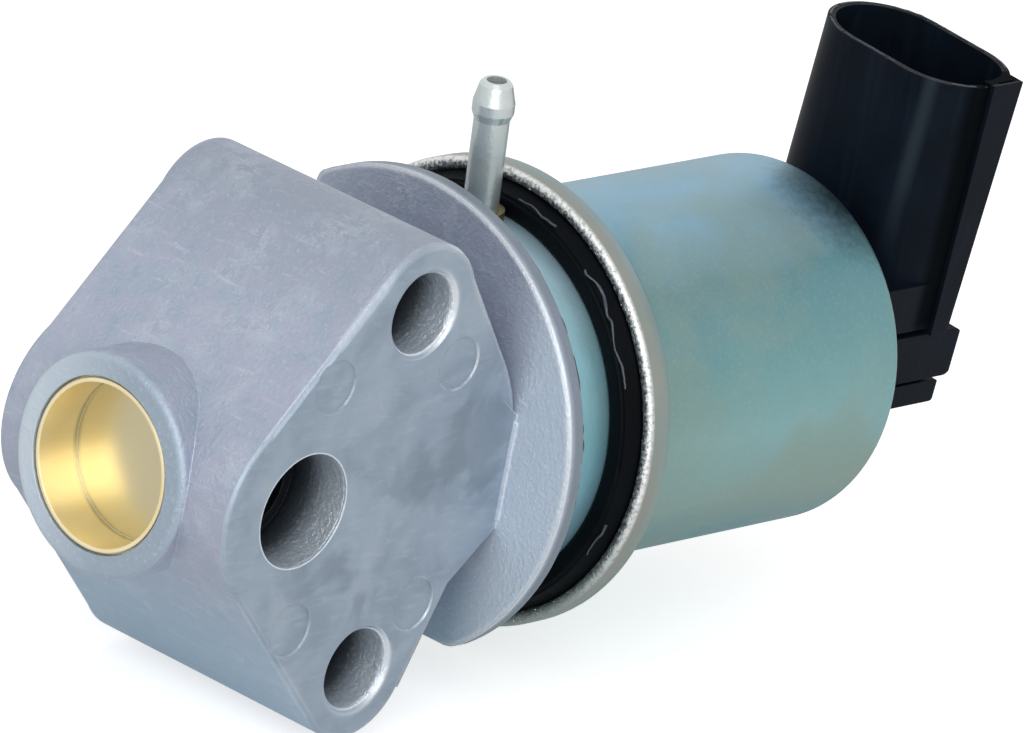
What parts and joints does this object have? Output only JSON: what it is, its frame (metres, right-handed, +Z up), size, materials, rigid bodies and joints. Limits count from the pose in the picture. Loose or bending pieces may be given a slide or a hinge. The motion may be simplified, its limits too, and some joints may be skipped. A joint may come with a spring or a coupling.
{
  "type": "exhaust gas recirculation valve",
  "caption": "Solenoid-driven exhaust gas recirculation valve: cast two-bolt flange body with gas ports, plated can, vent nipple and upright plug socket.",
  "frame": {"origin": "midway between the two bolt holes, on the gasket face that looks along -Y", "axes": "+X along the solenoid from the brass core plug to the plug socket, +Y into the casting from the front gasket face, +Z up along the vent nipple and the bolt line"},
  "size_m": [0.1267, 0.0518, 0.0643],
  "materials": {
    "cast_alloy": "matt as-cast, lightly blasted",
    "brass": "bright drawn",
    "steel": "machined",
    "bronze": "sintered",
    "plated_can": "zinc plated with a thick iridescent passivation, satin",
    "plated_base": "zinc plated, teal passivation, satin",
    "plated_pipe": "zinc plated, satin",
    "braze": "dull braze fillet",
    "rubber": "moulded, semi-gloss",
    "cover_plastic": "glass-filled, satin black",
    "nylon": "natural",
    "copper": "enamelled wire",
    "ceramic": "ceramic track board",
    "contact": "tinned"
  },
  "bodies": {
    "valve_body": {"casting": "cast_alloy", "core_plug": "brass", "valve_seat": "steel", "stem_bush": "bronze", "stem_seal": "rubber", "base_gasket": "rubber", "base_plate": "plated_base", "vent_pipe": "plated_pipe", "vent_collar": "braze", "rubber_ring": "rubber", "solenoid_can": "plated_can", "pole_piece": "steel", "stop_washer": "brass", "guide_sleeve": "steel", "return_spring": "steel", "bobbin": "nylon", "coil_winding": "copper", "back_washer": "steel", "spigot_clip": "steel", "cover_seal": "rubber", "socket_housing": "cover_plastic", "cover_lid": "cover_plastic", "follower_spring": "steel", "sensor_board": "ceramic", "sensor_blades": "contact", "coil_blades": "contact"},
    "valve": {"poppet_valve": "steel", "armature": "steel", "follower_pin": "steel", "wiper_carrier": "nylon"}
  },
  "joints": [
    {"name": "valve_lift", "type": "slide", "parent": "valve_body", "child": "valve", "axis": [-1, 0, 0], "range_m": [0, 0.004], "stiffness_N_per_m": 2000, "springref_m": -0.005, "deforming": ["return_spring", "follower_spring"]}
  ]
}
